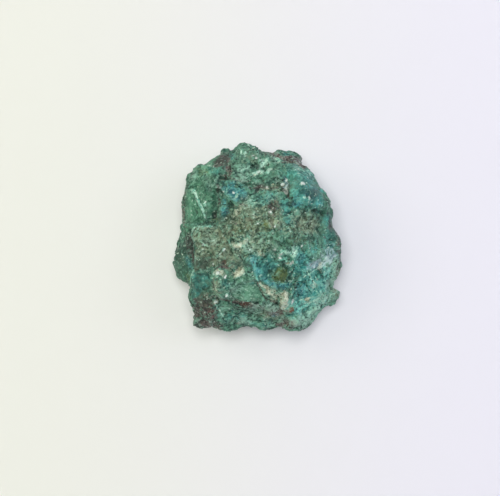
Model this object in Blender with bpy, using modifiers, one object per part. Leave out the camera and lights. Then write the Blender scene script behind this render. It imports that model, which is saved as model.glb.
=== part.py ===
"""A rough hand specimen of chrysocolla: one broken piece of copper ore, lying on its flattest break.

The stone grows from a dome over its plan outline. Fracture planes slice the dome, shelves and
ledges step it, grooves and hollows sink into it, and lumps stand on it. Chips and roughness follow,
and the underside is cut off flat where the stone rests.

The frame is +Z up, with the floor at Z = 0 and the origin under the middle of the stone.
Lengths here are in millimetres, and MM turns them into Blender's metres when the mesh is made.
"""

import bmesh
import bpy
import numpy as np
from mathutils import Vector, kdtree, noise

MM = 0.001

# Driving dimensions
STONE_WIDTH = 33.9  # along X
STONE_DEPTH = 37.8  # along Y
STONE_HEIGHT = 26.0  # along Z
CORE_HEIGHT = 11.0  # the centre that the dome is measured from
SPARE_HEIGHT = 1.5  # the dome's top stands this far over the fracture planes that slice it
SUNK_DEPTH = 2.0  # how far the underside's dome passes below the floor before it is cut off
CHIP_ROOM = 0.28  # the dome stays this far inside the outline, and the chips fill it

# Plan outline, counterclockwise from the right, before the chips wear its corners back
OUTLINE = (
    (15.7, 0.6), (14.7, 1.8), (14.5, 3.6), (15.1, 5.0), (15.0, 7.4), (12.3, 9.8), (11.6, 11.6),
    (10.5, 13.3), (9.1, 14.3), (9.6, 16.1), (8.7, 17.1), (6.7, 17.4), (5.1, 17.2), (3.5, 16.4),
    (1.1, 17.4), (-0.3, 17.6), (-1.9, 18.8), (-3.1, 18.8), (-4.5, 17.3), (-6.9, 17.9),
    (-8.4, 15.9), (-11.1, 14.1), (-13.8, 12.5), (-14.1, 9.4), (-14.4, 6.8), (-14.5, 3.4),
    (-15.5, -0.6), (-16.7, -3.6), (-17.8, -5.2), (-16.5, -6.4), (-14.5, -8.7), (-12.7, -9.9),
    (-12.9, -12.6), (-13.2, -18.0), (-10.5, -19.0), (-7.5, -18.5), (-6.1, -19.0),
    (-3.3, -18.2), (-1.7, -17.8), (-0.1, -17.9), (0.9, -18.7), (6.7, -18.5), (9.0, -19.0),
    (10.9, -17.5), (12.1, -15.3), (14.1, -13.5), (15.9, -13.5), (16.5, -11.9), (16.9, -10.0),
    (16.3, -9.0), (16.6, -7.2), (16.8, -5.0), (17.1, -3.0), (16.8, -0.6),
)  # fmt: skip

# Height of the widest line round the stone: (azimuth in degrees, height)
BELT = (
    (0, 11.0), (40, 11.5), (64, 8.5), (90, 10.5), (130, 10.5), (160, 9.5), (185, 7.0),
    (205, 6.5), (222, 11.0), (250, 10.0), (300, 8.5), (322, 6.0), (340, 9.5), (360, 11.0),
)  # fmt: skip
BELT_REACH = 4.0  # the outline's corners fade out this far above and below the belt
CORNER_BLUR = 22  # degrees over which the outline is averaged away from the belt
CROWN_POWER = 3.0  # how boxy the upper half is: 2 is round
KEEL_POWER = 2.5  # the same for the lower half

# Fracture planes that slice the upper half: (x, y, height there, rise along x, rise along y)
CROWN_PLANES = (
    (1.0, 2.0, 25.6, 0.03, 0.03),
    (-8.0, 0.0, 23.6, 0.20, 0.02),
    (-2.0, 8.0, 22.6, 0.10, -0.62),
    (-10.0, 6.0, 20.0, 0.62, -0.20),
    (-9.0, 14.0, 15.6, 0.55, -1.05),
    (4.0, -14.6, 17.6, -0.05, 1.25),
    (11.0, -10.0, 17.4, -0.80, 0.60),
    (12.4, -1.0, 20.4, -1.00, 0.02),
)

# Fracture planes round the lower half: (azimuth, elevation, distance from the core's centre)
KEEL_PLANES = (
    (12, -42, 13.6), (75, -38, 15.0), (118, -46, 14.2), (162, -36, 13.8), (205, -40, 14.4),
    (236, -30, 19.0), (262, -50, 14.2), (305, -44, 15.4), (350, -34, 15.8),
)  # fmt: skip

# Shelves: inside a plan polygon the stone is broken down to a sloping plane
# (corners, height at the first corner, rise along x, rise along y, width of the broken edge)
SHELVES = (
    # the low wedge behind the left cliff
    (((-12.8, 2.4), (-12.9, 0.6), (-12.2, -1.2), (-12.1, -4.4), (-12.0, -6.2), (-12.9, -7.0),
      (-13.1, -12.0), (-22.0, -12.0), (-22.0, 3.6)), 15.0, 1.15, 0.20, 0.35),
    # the upper left, one step below the centre block
    (((-13.6, 2.2), (-9.0, 2.5), (-5.4, 2.3), (-5.2, 5.4), (-6.6, 8.6), (-5.6, 12.6),
      (-6.6, 18.5), (-22.0, 20.0), (-22.0, 2.2)), 16.9, 0.62, -0.22, 0.35),
    # the dark crust low at the top right
    (((3.2, 15.0), (5.2, 14.4), (7.6, 14.6), (9.4, 13.6), (14.0, 17.0), (3.0, 22.0)),
     12.6, -0.20, -0.45, 0.35),
    # the small knob low at the bottom right
    (((14.6, -8.4), (13.9, -10.6), (13.8, -13.9), (20.0, -15.0), (20.0, -8.0)),
     9.2, -0.30, 0.10, 0.3),
    # the pale smooth face in the lower middle
    (((-0.6, -8.3), (1.1, -9.9), (2.6, -12.4), (1.6, -13.7), (-2.0, -13.4), (-6.2, -11.9),
      (-4.6, -9.9), (-3.0, -8.8)), 22.4, -0.10, 0.42, 0.3),
    # the band below that face
    (((-8.4, -11.6), (-6.0, -12.2), (-2.0, -13.7), (2.0, -14.0), (6.0, -15.0), (6.0, -22.0),
      (-8.4, -22.0)), 18.6, -0.05, 1.10, 0.3),
    # the lower left block
    (((-8.4, -6.6), (-7.4, -10.0), (-8.2, -16.0), (-7.8, -22.0), (-20.0, -22.0), (-20.0, -6.6)),
     21.6, 0.42, 0.34, 0.35),
)  # fmt: skip

# Grooves: (route, depth, half width)
GROOVES = (
    (((-6.4, 17.4), (-5.6, 14.6), (-5.0, 12.6), (-6.8, 11.4), (-7.4, 8.4), (-8.2, 5.6),
      (-8.3, 3.8)), 1.5, 0.7),
    (((-8.3, 3.8), (-5.0, 3.2), (-3.4, 5.0)), 1.0, 0.55),
    (((-5.0, 11.9), (-1.4, 10.9), (2.2, 9.8), (5.8, 10.2)), 0.8, 0.9),
    (((5.6, 12.6), (5.7, 9.2), (6.4, 6.8), (9.6, 5.4), (14.6, 4.4)), 1.2, 0.7),
    (((13.2, 4.4), (12.4, 1.4), (12.8, -2.0)), 0.8, 0.7),
    (((-8.0, -6.6), (-6.0, -7.6), (-4.2, -8.4), (-1.8, -7.8)), 0.9, 0.5),
    (((1.4, -9.4), (3.2, -12.6), (5.2, -14.6)), 0.9, 0.4),
    (((6.6, -11.4), (8.2, -9.8), (8.6, -7.6)), 0.8, 0.45),
)  # fmt: skip

# Mounds stand up from the stone and hollows sink into it: (x, y, reach x, reach y, turn, height)
MOUNDS = (
    (-4.8, 9.2, 2.9, 2.3, 20, 0.8),
    (10.0, 9.2, 5.2, 5.8, 25, 1.9),
    (10.0, 13.2, 3.0, 2.6, -20, 0.8),
    (-1.2, 16.8, 3.0, 2.2, 0, 1.4),
    (4.6, 5.6, 3.6, 1.8, 30, 0.6),
    (4.6, -7.2, 1.8, 1.3, 0, 0.9),
    (6.0, -12.2, 1.4, 2.6, 35, 0.9),
    (11.6, -2.4, 2.8, 1.9, 20, 0.8),
    (4.4, -6.4, 4.2, 3.4, -25, -2.2),
    (9.6, -5.2, 1.8, 1.4, 0, -0.7),
    (1.0, 12.4, 2.6, 1.6, 0, -0.7),
    (-10.4, 9.0, 2.6, 1.5, -60, -0.6),
    (10.2, -14.6, 2.0, 1.4, 30, -0.8),
)

# Broken surface
EDGE_WANDER = (2.2, 0.55)  # (grain, reach) by which the edges of steps and grooves stray
CROWN_SHARE = (-3.5, 1.0)  # steps and grooves fade in between these heights off the core
SWELL = (6.5, 0.45)  # (grain, height) of the slow unevenness
CHIP_COUNT = 260
CHIPS_MEETING = 3  # the nearest chips that each spot is cut by
CHIP_TILT = 0.17  # slope of the chips' faces against the surface, as a spread
CHIP_STEP = 0.15  # how far chips stand above or below each other
ROUGHNESS = (1.7, 0.10)  # (grain, height) of the fine unevenness
DEEPEST_CHIP = -1.2
HIGHEST_CHIP = 0.9
SEED = 11  # of the chips
WANDER_SEED = 1795452601  # of how the edges of steps and grooves stray

# Smooth faces, where the chips and roughness are weaker: (x, y, reach, share that is left)
SMOOTH_FACES = (
    (-12.4, 9.0, 3.6, 0.45),
    (-11.2, 4.6, 2.8, 0.45),
    (-1.8, -10.9, 2.6, 0.15),
    (10.4, 9.4, 4.6, 0.45),
    (-10.6, -10.2, 3.0, 0.6),
)

# Mesh
SPHERE_LEVEL = 7
VOXEL = 0.42  # the even net that the shaped dome is laid over with
NET_TRIANGLES = 8200

NEARLY_NONE = 1e-6  # stands in for nought where a length is divided by
STONE_COLOUR = (0.10, 0.27, 0.20, 1.0)
STONE_ROUGHNESS = 0.6


def smoothstep(low, high, value):
    """0 below low, 1 above high, and a soft ramp between."""
    share = np.clip((value - low) / (high - low), 0.0, 1.0)
    return share * share * (3.0 - 2.0 * share)


def outline_radius(azimuth):
    """Distance from the middle to the plan outline, along each azimuth in radians."""
    corners = np.array(OUTLINE)
    angles = np.arctan2(corners[:, 1], corners[:, 0]) % (2 * np.pi)
    after = np.searchsorted(angles, azimuth % (2 * np.pi)) % len(corners)
    start = corners[after - 1]
    side = corners[after] - start
    ray = np.stack([np.cos(azimuth), np.sin(azimuth)], axis=1)
    return (start[:, 0] * side[:, 1] - start[:, 1] * side[:, 0]) / (
        ray[:, 0] * side[:, 1] - ray[:, 1] * side[:, 0]
    )


def rounded_outline_radius(azimuth):
    """The outline with its corners averaged away, for the stone above and below the belt."""
    turns = np.radians(np.linspace(-CORNER_BLUR, CORNER_BLUR, 12))
    return sum(outline_radius(azimuth + turn) for turn in turns) / len(turns)


def dome(directions):
    """The stone before it is broken: a boxy dome over the outline, along each unit direction."""
    azimuth = np.arctan2(directions[:, 1], directions[:, 0])
    level = np.hypot(directions[:, 0], directions[:, 1])
    rise = directions[:, 2]
    upper = rise > 0
    sharp = outline_radius(azimuth) - CHIP_ROOM
    climb = np.abs(rise) * sharp / np.maximum(level, NEARLY_NONE)
    near_belt = np.exp(-((climb / BELT_REACH) ** 2))
    blunt = np.minimum(rounded_outline_radius(azimuth) - CHIP_ROOM, sharp)
    radius = near_belt * sharp + (1 - near_belt) * blunt
    height = np.where(upper, STONE_HEIGHT + SPARE_HEIGHT - CORE_HEIGHT, CORE_HEIGHT + SUNK_DEPTH)
    power = np.where(upper, CROWN_POWER, KEEL_POWER)
    reach = ((level / radius) ** power + (np.abs(rise) / height) ** power) ** (-1 / power)
    for turn, lift, distance in KEEL_PLANES:
        turn, lift = np.radians(turn), np.radians(lift)
        normal = np.array([np.cos(lift) * np.cos(turn), np.cos(lift) * np.sin(turn), np.sin(lift)])
        reach = np.minimum(reach, distance / np.maximum(directions @ normal, NEARLY_NONE))
    points = directions * reach[:, None]
    belt_azimuth, belt_height = zip(*BELT)
    belt = np.interp(np.degrees(azimuth) % 360, belt_azimuth, belt_height)
    points[:, 2] += CORE_HEIGHT + (belt - CORE_HEIGHT) * level**2
    return points


def distance_to_route(plan, route):
    """Distance from each plan point to an open route of straight runs."""
    nearest = np.full(len(plan), np.inf)
    for start, end in zip(route[:-1], route[1:]):
        start, run = np.array(start), np.subtract(end, start)
        along = np.clip((plan - start) @ run / (run @ run), 0, 1)
        nearest = np.minimum(nearest, np.linalg.norm(plan - start - along[:, None] * run, axis=1))
    return nearest


def depth_inside(plan, corners):
    """Distance from each plan point to a polygon's edge: positive inside, negative outside."""
    inside = np.zeros(len(plan), bool)
    x, y = plan.T
    for (x0, y0), (x1, y1) in zip(corners, corners[1:] + corners[:1]):
        spans = (y0 > y) != (y1 > y)
        rise = y1 - y0 if y1 != y0 else 1.0
        inside ^= spans & (x < (x1 - x0) * (y - y0) / rise + x0)
    distance = distance_to_route(plan, corners + corners[:1])
    return np.where(inside, distance, -distance)


def break_crown(points):
    """Slices, steps, grooves and mounds on the upper half, all read on the plan."""
    plan = points[:, :2]
    grain, reach = EDGE_WANDER
    wander = [noise.noise_vector(Vector((x, y, SEED)))[:2] for x, y in plan / grain]
    warped = plan + reach * np.array(wander)
    height = points[:, 2].copy()
    for x, y, level, rise_x, rise_y in CROWN_PLANES:
        plane = level + rise_x * (plan[:, 0] - x) + rise_y * (plan[:, 1] - y)
        height = np.minimum(height, plane)
    for corners, level, rise_x, rise_y, edge in SHELVES:
        plane = level + (plan - corners[0]) @ (rise_x, rise_y)
        inside = smoothstep(-edge / 2, edge / 2, depth_inside(warped, corners))
        height -= inside * np.maximum(height - plane, 0)
    for route, depth, half_width in GROOVES:
        across = distance_to_route(warped, route) / half_width
        height -= depth * np.exp(-(across**2))
    for x, y, reach_x, reach_y, turn, rise in MOUNDS:
        turn = np.radians(turn)
        offset = warped - (x, y)
        along = (offset @ (np.cos(turn), np.sin(turn))) / reach_x
        across = (offset @ (-np.sin(turn), np.cos(turn))) / reach_y
        height += rise * np.maximum(1 - along**2 - across**2, 0) ** 0.8
    share = smoothstep(*CROWN_SHARE, points[:, 2] - CORE_HEIGHT)
    points[:, 2] += share * (height - points[:, 2])
    return points


def chip_seeds(points, rng):
    """The middles of the chips, spread evenly by direction from the core."""
    rays = points - (0, 0, CORE_HEIGHT)
    rays /= np.linalg.norm(rays, axis=1)[:, None]
    aims = rng.normal(size=(CHIP_COUNT, 3))
    aims /= np.linalg.norm(aims, axis=1)[:, None]
    return points[np.argmax(rays @ aims.T, axis=0)]


def roughen(points, normals):
    """Slow swells, flat chips that meet in crisp edges, and fine unevenness."""
    rng = np.random.default_rng(SEED)
    seeds = chip_seeds(points, rng)
    tilts = rng.normal(0.0, CHIP_TILT, (CHIP_COUNT, 3))
    levels = rng.uniform(-CHIP_STEP, CHIP_STEP, CHIP_COUNT)
    tree = kdtree.KDTree(CHIP_COUNT)
    for index, seed in enumerate(seeds):
        tree.insert(seed, index)
    tree.balance()
    strength = np.ones(len(points))
    for x, y, reach, left in SMOOTH_FACES:
        away = np.linalg.norm(points[:, :2] - (x, y), axis=1) / reach
        near = (1 - smoothstep(0.6, 1.2, away)) * (points[:, 2] > CORE_HEIGHT)
        strength *= 1 - (1 - left) * near
    lift = np.empty(len(points))
    for index, point in enumerate(points):
        place = Vector(point)
        chips = [found[1] for found in tree.find_n(place, CHIPS_MEETING)]
        faces = [levels[chip] + (point - seeds[chip]) @ tilts[chip] for chip in chips]
        swell = noise.noise(place / SWELL[0]) * SWELL[1]
        grain = noise.fractal(place / ROUGHNESS[0], 0.8, 2.1, 3) * ROUGHNESS[1]
        lift[index] = swell + (grain + min(faces)) * strength[index]
    lift = np.clip(lift - lift.mean(), DEEPEST_CHIP, HIGHEST_CHIP)
    return points + normals * lift[:, None]


def vectors(items, field):
    """One row of three numbers for each item of a mesh."""
    rows = np.empty((len(items), 3), np.float32)
    items.foreach_get(field, rows.ravel())
    return rows.astype(float)


def set_points(mesh, points):
    mesh.vertices.foreach_set("co", np.asarray(points, np.float32).ravel())
    mesh.update()


def apply_modifier(stone, kind, **settings):
    """Adds a modifier and keeps what it makes as the object's own mesh."""
    modifier = stone.modifiers.new(kind.title(), kind)
    for name, value in settings.items():
        setattr(modifier, name, value)
    graph = bpy.context.evaluated_depsgraph_get()
    made = bpy.data.meshes.new_from_object(stone.evaluated_get(graph))
    stone.modifiers.clear()
    before = stone.data
    stone.data = made
    bpy.data.meshes.remove(before)


def make_dome_object(collection):
    mesh = bpy.data.meshes.new("chrysocolla_stone")
    ball = bmesh.new()
    bmesh.ops.create_icosphere(ball, subdivisions=SPHERE_LEVEL, radius=1.0)
    ball.to_mesh(mesh)
    ball.free()
    stone = bpy.data.objects.new("chrysocolla_stone", mesh)
    collection.objects.link(stone)
    directions = vectors(mesh.vertices, "co")
    directions /= np.linalg.norm(directions, axis=1)[:, None]
    set_points(mesh, break_crown(dome(directions)))
    return stone


def cut_resting_face(stone):
    """Takes off what lies below the floor, and closes the cut with one flat face."""
    shape = bmesh.new()
    shape.from_mesh(stone.data)
    everything = shape.verts[:] + shape.edges[:] + shape.faces[:]
    cut = bmesh.ops.bisect_plane(
        shape, geom=everything, dist=1e-4, plane_co=(0, 0, 0), plane_no=(0, 0, -1), clear_outer=True
    )
    rim = [part for part in cut["geom_cut"] if isinstance(part, bmesh.types.BMEdge)]
    bmesh.ops.contextual_create(shape, geom=rim)
    bmesh.ops.triangulate(shape, faces=shape.faces[:])
    bmesh.ops.recalc_face_normals(shape, faces=shape.faces[:])
    shape.to_mesh(stone.data)
    shape.free()


def fit_to_size(mesh):
    """Brings the stone to its exact size in metres, with the middle of its plan over the origin."""
    points = vectors(mesh.vertices, "co")
    low, high = points.min(axis=0), points.max(axis=0)
    foot = (*(low + high)[:2] / 2, low[2])
    size = np.array([STONE_WIDTH, STONE_DEPTH, STONE_HEIGHT]) * MM
    set_points(mesh, (points - foot) * size / (high - low))


def stone_material():
    material = bpy.data.materials.new("chrysocolla")
    material.use_nodes = True
    surface = material.node_tree.nodes["Principled BSDF"]
    surface.inputs["Base Color"].default_value = STONE_COLOUR
    surface.inputs["Roughness"].default_value = STONE_ROUGHNESS
    surface.inputs["Metallic"].default_value = 0.0
    return material


def main():
    for old in list(bpy.data.objects):
        bpy.data.objects.remove(old)
    noise.seed_set(WANDER_SEED)
    collection = bpy.data.collections.new("chrysocolla_specimen")
    bpy.context.scene.collection.children.link(collection)
    stone = make_dome_object(collection)
    apply_modifier(stone, "REMESH", mode="VOXEL", voxel_size=VOXEL)
    mesh = stone.data
    points = roughen(vectors(mesh.vertices, "co"), vectors(mesh.vertex_normals, "vector"))
    set_points(mesh, points)
    triangles = sum(len(face.vertices) - 2 for face in mesh.polygons)
    apply_modifier(stone, "DECIMATE", ratio=NET_TRIANGLES / triangles, use_collapse_triangulate=True)
    cut_resting_face(stone)
    fit_to_size(stone.data)
    stone.data.materials.append(stone_material())


main()
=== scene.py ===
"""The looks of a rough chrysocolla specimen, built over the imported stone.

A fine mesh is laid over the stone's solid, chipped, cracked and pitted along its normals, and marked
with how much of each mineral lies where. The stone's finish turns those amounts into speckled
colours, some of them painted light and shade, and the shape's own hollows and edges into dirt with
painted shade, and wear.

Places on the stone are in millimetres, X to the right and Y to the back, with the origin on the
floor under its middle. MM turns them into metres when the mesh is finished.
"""

import math
from types import SimpleNamespace

import bmesh
import bpy
import numpy as np
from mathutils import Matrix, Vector, kdtree, noise


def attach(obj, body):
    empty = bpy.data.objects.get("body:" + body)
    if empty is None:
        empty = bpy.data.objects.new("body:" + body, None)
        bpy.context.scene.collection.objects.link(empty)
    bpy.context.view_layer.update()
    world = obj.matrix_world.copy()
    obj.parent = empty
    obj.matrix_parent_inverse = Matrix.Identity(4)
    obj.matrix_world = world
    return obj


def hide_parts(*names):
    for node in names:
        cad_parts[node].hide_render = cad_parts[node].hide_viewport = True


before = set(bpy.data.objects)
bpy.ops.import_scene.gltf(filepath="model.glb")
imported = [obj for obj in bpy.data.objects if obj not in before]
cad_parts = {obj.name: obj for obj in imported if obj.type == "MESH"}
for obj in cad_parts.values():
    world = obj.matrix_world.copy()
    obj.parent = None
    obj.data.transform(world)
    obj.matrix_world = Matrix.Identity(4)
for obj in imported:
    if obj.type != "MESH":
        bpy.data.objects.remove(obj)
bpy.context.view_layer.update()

MM = 0.001
STONE_NODE = "chrysocolla_stone"

# The fine mesh
SAME_POINT = 0.001  # corners of the solid that are nearer than this are one
VOXEL = 0.245  # its spacing
FACET_SMOOTHING = 2  # rounds of smoothing that take the solid's own facets away
SHARP_FROM = math.radians(35)  # edges that turn by more are crisp

# The broken surface
FLAKES = ((900, 0.12, 0.03), (5200, 0.17, 0.06))  # (count, slope, how far their hollows bow)
FLAKES_MEETING = 6  # the nearest flakes that each point is cut by
FLAKE_SEED = 23
GRAINS = ((0.9, 0.02), (0.45, 0.04))  # (size, height)
GRAIN_NOISE = (0.9, 2.1, 2)  # (how fast its finer rounds weaken, how much finer each is, rounds)
DEEPEST = -0.9
HIGHEST = 0.6

# What has a place of its own lies on the upper side. It fades out where the stone turns down, and
# over the last stretch down to its foot.
TURNING_DOWN = (-0.25, 0.1)  # the upward part of the normal, from where it is gone to where it is whole
RELIEF_FOOT = 4.0
COLOUR_FOOT = 1.0
FOOT_FADE = 3.0

# How far things stray from their places, so that their borders are irregular: (grain, reach)
CALM_STRAY = (1.5, 0.6)
RELIEF_STRAY = (1.1, 0.25)
PATCH_STRAY = (1.8, 0.5)
VEIN_STRAY = (1.1, 0.15)
STROKE_STRAY = (1.8, 0.7)
STRAY_SEED = 3

# Calm faces, where chips and grains are weaker: (x, y, reach along, reach across, turn, share left)
CALM_FACES = (
    (-8.0, 15.0, 3.6, 1.8, 38, 0.35),
    (-10.8, 12.6, 2.4, 1.6, 40, 0.45),
    (9.2, 11.6, 4.2, 3.2, -30, 0.3),
    (10.6, 7.8, 3.0, 1.8, -20, 0.4),
    (-15.0, -5.4, 2.4, 3.8, 20, 0.35),
    (-10.8, -10.6, 2.2, 3.6, 0, 0.5),
    (4.5, -6.8, 1.9, 1.5, 0, 0.3),
    (13.4, -4.2, 2.2, 1.7, 30, 0.45),
    (13.6, 2.0, 2.6, 4.0, 0, 0.45),
    (1.6, -7.4, 1.2, 2.6, 35, 0.5),
)
CALM_EDGE = (0.7, 1.2)  # where an oval's calm starts to fade and where it ends, as shares of its reach

# Faces with an outline: (outline, share of the roughness left, what lies on them)
FACES = (
    # the pale smooth face in front
    (
        ((-5.2, -10.9), (-5.0, -9.3), (-3.7, -7.9), (-2.3, -7.0),
         (-0.5, -7.6), (1.1, -10.7), (2.0, -12.6), (-3.3, -12.3)),
        0.2,
        {"leaf_green": 0.6, "matrix": 0.3, "bloom_and_light": 0.3},
    ),
    # the top of the middle block
    (
        ((-12.9, 2.0), (-9.7, 2.2), (-6.5, 1.8), (-4.8, -2.6),
         (-5.0, -5.2), (-12.5, -6.3), (-12.0, -1.2), (-12.8, 0.4)),
        0.9,
        {"matrix": 0.85, "leaf_green": 0.25, "stain_and_shade": 0.1},
    ),
    # the top of the lower left block
    (
        ((-12.9, -6.7), (-9.4, -6.5), (-8.4, -8.0), (-9.2, -9.6),
         (-10.4, -10.0), (-11.2, -11.4), (-12.8, -12.2)),
        0.35,
        {"teal": 0.6, "matrix": 0.2, "stain_and_shade": 0.4},
    ),
    # the green faces at the left, inside and outside their pale vein
    (
        ((-11.8, 9.2), (-9.8, 3.8), (-8.6, 4.4), (-7.8, 8.4), (-8.0, 12.0), (-10.6, 12.4)),
        0.6,
        {"leaf_green": 0.9, "stain_and_shade": 0.45},
    ),
    (
        ((-12.2, 8.6), (-10.1, 3.4), (-12.6, 2.6), (-14.2, 4.0), (-14.2, 9.0)),
        0.5,
        {"leaf_green": 0.7, "stain_and_shade": 0.2},
    ),
)
FACE_EDGE = 0.2
FACE_CLEARED = 0.6  # how much of what else lies there a face is free of

# Ledges, with the high ground on the left of the route: (route, rise, how far it fades)
LEDGES = (
    # the middle block's cliff, and the lower left block's
    (((-9.7, 2.3), (-12.1, 2.1), (-12.6, 1.4), (-12.9, 0.4), (-12.1, -1.2), (-12.0, -4.8)), 0.22, 0.5),
    (((-9.2, -6.3), (-12.7, -6.5), (-13.1, -9.3)), 0.15, 0.4),
    # the smooth face's right, front and left edges
    (((-0.3, -7.8), (1.1, -10.4), (2.4, -12.9)), 0.25, 0.5),
    (((2.2, -13.2), (-1.3, -13.0), (-3.3, -12.6), (-5.4, -12.0)), 0.25, 0.5),
    (((-3.6, -7.8), (-5.0, -9.3), (-5.3, -10.9)), -0.15, 0.4),
)

# Cracks: (route, depth, half width)
CRACKS = (
    # behind the blue patch, and down from the crystals
    (((-7.2, 11.6), (-4.6, 11.4), (-1.6, 10.6), (2.2, 9.9), (5.4, 9.2)), 0.4, 0.3),
    (((2.4, 7.4), (3.4, 5.0), (2.8, 2.6), (4.0, 0.4)), 0.35, 0.3),
    # behind and in front of the dome
    (((3.2, 15.8), (4.6, 14.8), (7.2, 15.0), (9.4, 14.2)), 0.5, 0.3),
    (((6.0, 6.6), (8.6, 5.4), (12.4, 5.0), (13.6, 3.6)), 0.35, 0.3),
    # under the middle block's cliff, and beside the lower left block
    (((-12.9, 0.2), (-12.8, -2.0), (-12.7, -4.6)), 0.5, 0.3),
    (((-8.2, -6.8), (-8.6, -9.4), (-7.6, -12.0)), 0.25, 0.3),
    # in front of the smooth face
    (((-6.0, -12.2), (-3.6, -12.9), (-1.0, -13.4), (2.0, -14.0)), 0.7, 0.3),
    (((3.4, -12.4), (4.6, -13.6)), 0.6, 0.3),
    # in front of the bead, and beside the small knob
    (((7.6, -8.6), (9.4, -8.8), (10.6, -10.6)), 0.45, 0.25),
    (((14.3, -8.4), (14.9, -10.6), (14.3, -12.6)), 0.35, 0.25),
)

# Veins and rims that stand a little proud: (route, height, half width)
RIDGES = (
    (((-12.3, 9.0), (-11.1, 6.4), (-9.9, 3.7)), 0.2, 0.2),
    (((0.3, -8.5), (2.2, -10.7), (3.4, -12.2)), 0.25, 0.4),
    (((10.6, -7.2), (11.6, -9.6), (12.4, -11.4)), 0.2, 0.25),
)

# Small knobs and pits: (x, y, reach along, reach across, turn, height)
KNOBS = (
    # the bead, and the hollows in front of it and behind it
    (4.5, -6.8, 1.7, 1.25, 10, 0.35),
    (5.6, -9.4, 1.6, 0.5, 0, -0.2),
    (4.4, -5.0, 1.8, 0.5, 0, -0.2),
    # crystals
    (4.6, -3.2, 0.7, 0.55, 20, 0.35),
    (7.0, -3.6, 0.7, 1.0, 10, 0.35),
    (-3.2, -6.6, 0.6, 1.0, -30, 0.3),
    (-3.6, -1.4, 0.7, 0.8, 10, 0.25),
    (-7.1, -6.8, 1.1, 0.7, -20, 0.3),
    (5.3, -12.6, 0.6, 1.3, 10, 0.35),
    (10.1, 7.6, 0.5, 0.35, 20, 0.25),
    (8.9, 10.6, 0.5, 0.5, 0, 0.2),
    (-8.2, -12.5, 0.4, 0.4, 0, 0.3),
    # pits
    (-8.2, 4.4, 0.6, 0.8, 0, -0.25),
    (5.8, 8.6, 0.5, 0.7, 0, -0.4),
    # the lower left corner, and the lower right one
    (-12.1, -16.3, 1.0, 0.9, 0, 0.9),
    (15.9, -13.6, 1.4, 1.2, 0, -0.9),
)
KNOB_ROUNDNESS = 0.7  # 1 is a parabola, and less is blunter

# Fibres fan out over the lower right: (x, y, reach, heading in degrees, spacing, height)
FIBRES = (11.4, -10.4, 4.6, -66, 0.8, 0.10)
FIBRES_EDGE = (0.6, 1.1)  # where they start to fade and where they end, as shares of their reach

# How the surface's fine strokes run: (x, y, reach, heading in degrees, or None where they run in rings)
STROKES = (
    (-9.4, 10.8, 3.8, 50),
    (-12.4, 6.0, 3.6, -68),
    (0.0, 15.0, 4.4, 25),
    (8.0, 13.0, 3.0, -35),
    (10.4, 8.9, 3.0, None),
    (-2.0, 3.0, 4.6, 25),
    (-2.0, -10.2, 3.2, -20),
    (3.6, -2.0, 4.0, 25),
    (4.6, -6.9, 5.6, None),
    (11.6, -8.6, 2.8, -62),
    (11.4, -12.6, 3.4, 15),
    (-6.4, -14.6, 2.4, -58),
    (-10.6, -12.4, 2.6, 80),
    (14.0, -3.6, 2.6, 40),
    (-1.6, -15.6, 3.6, 5),
)
STROKE_HEADING = 30  # everywhere else
STROKE_SIZE = (1.7, 0.42, 0.42)  # along the stroke, across it and upwards

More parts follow.
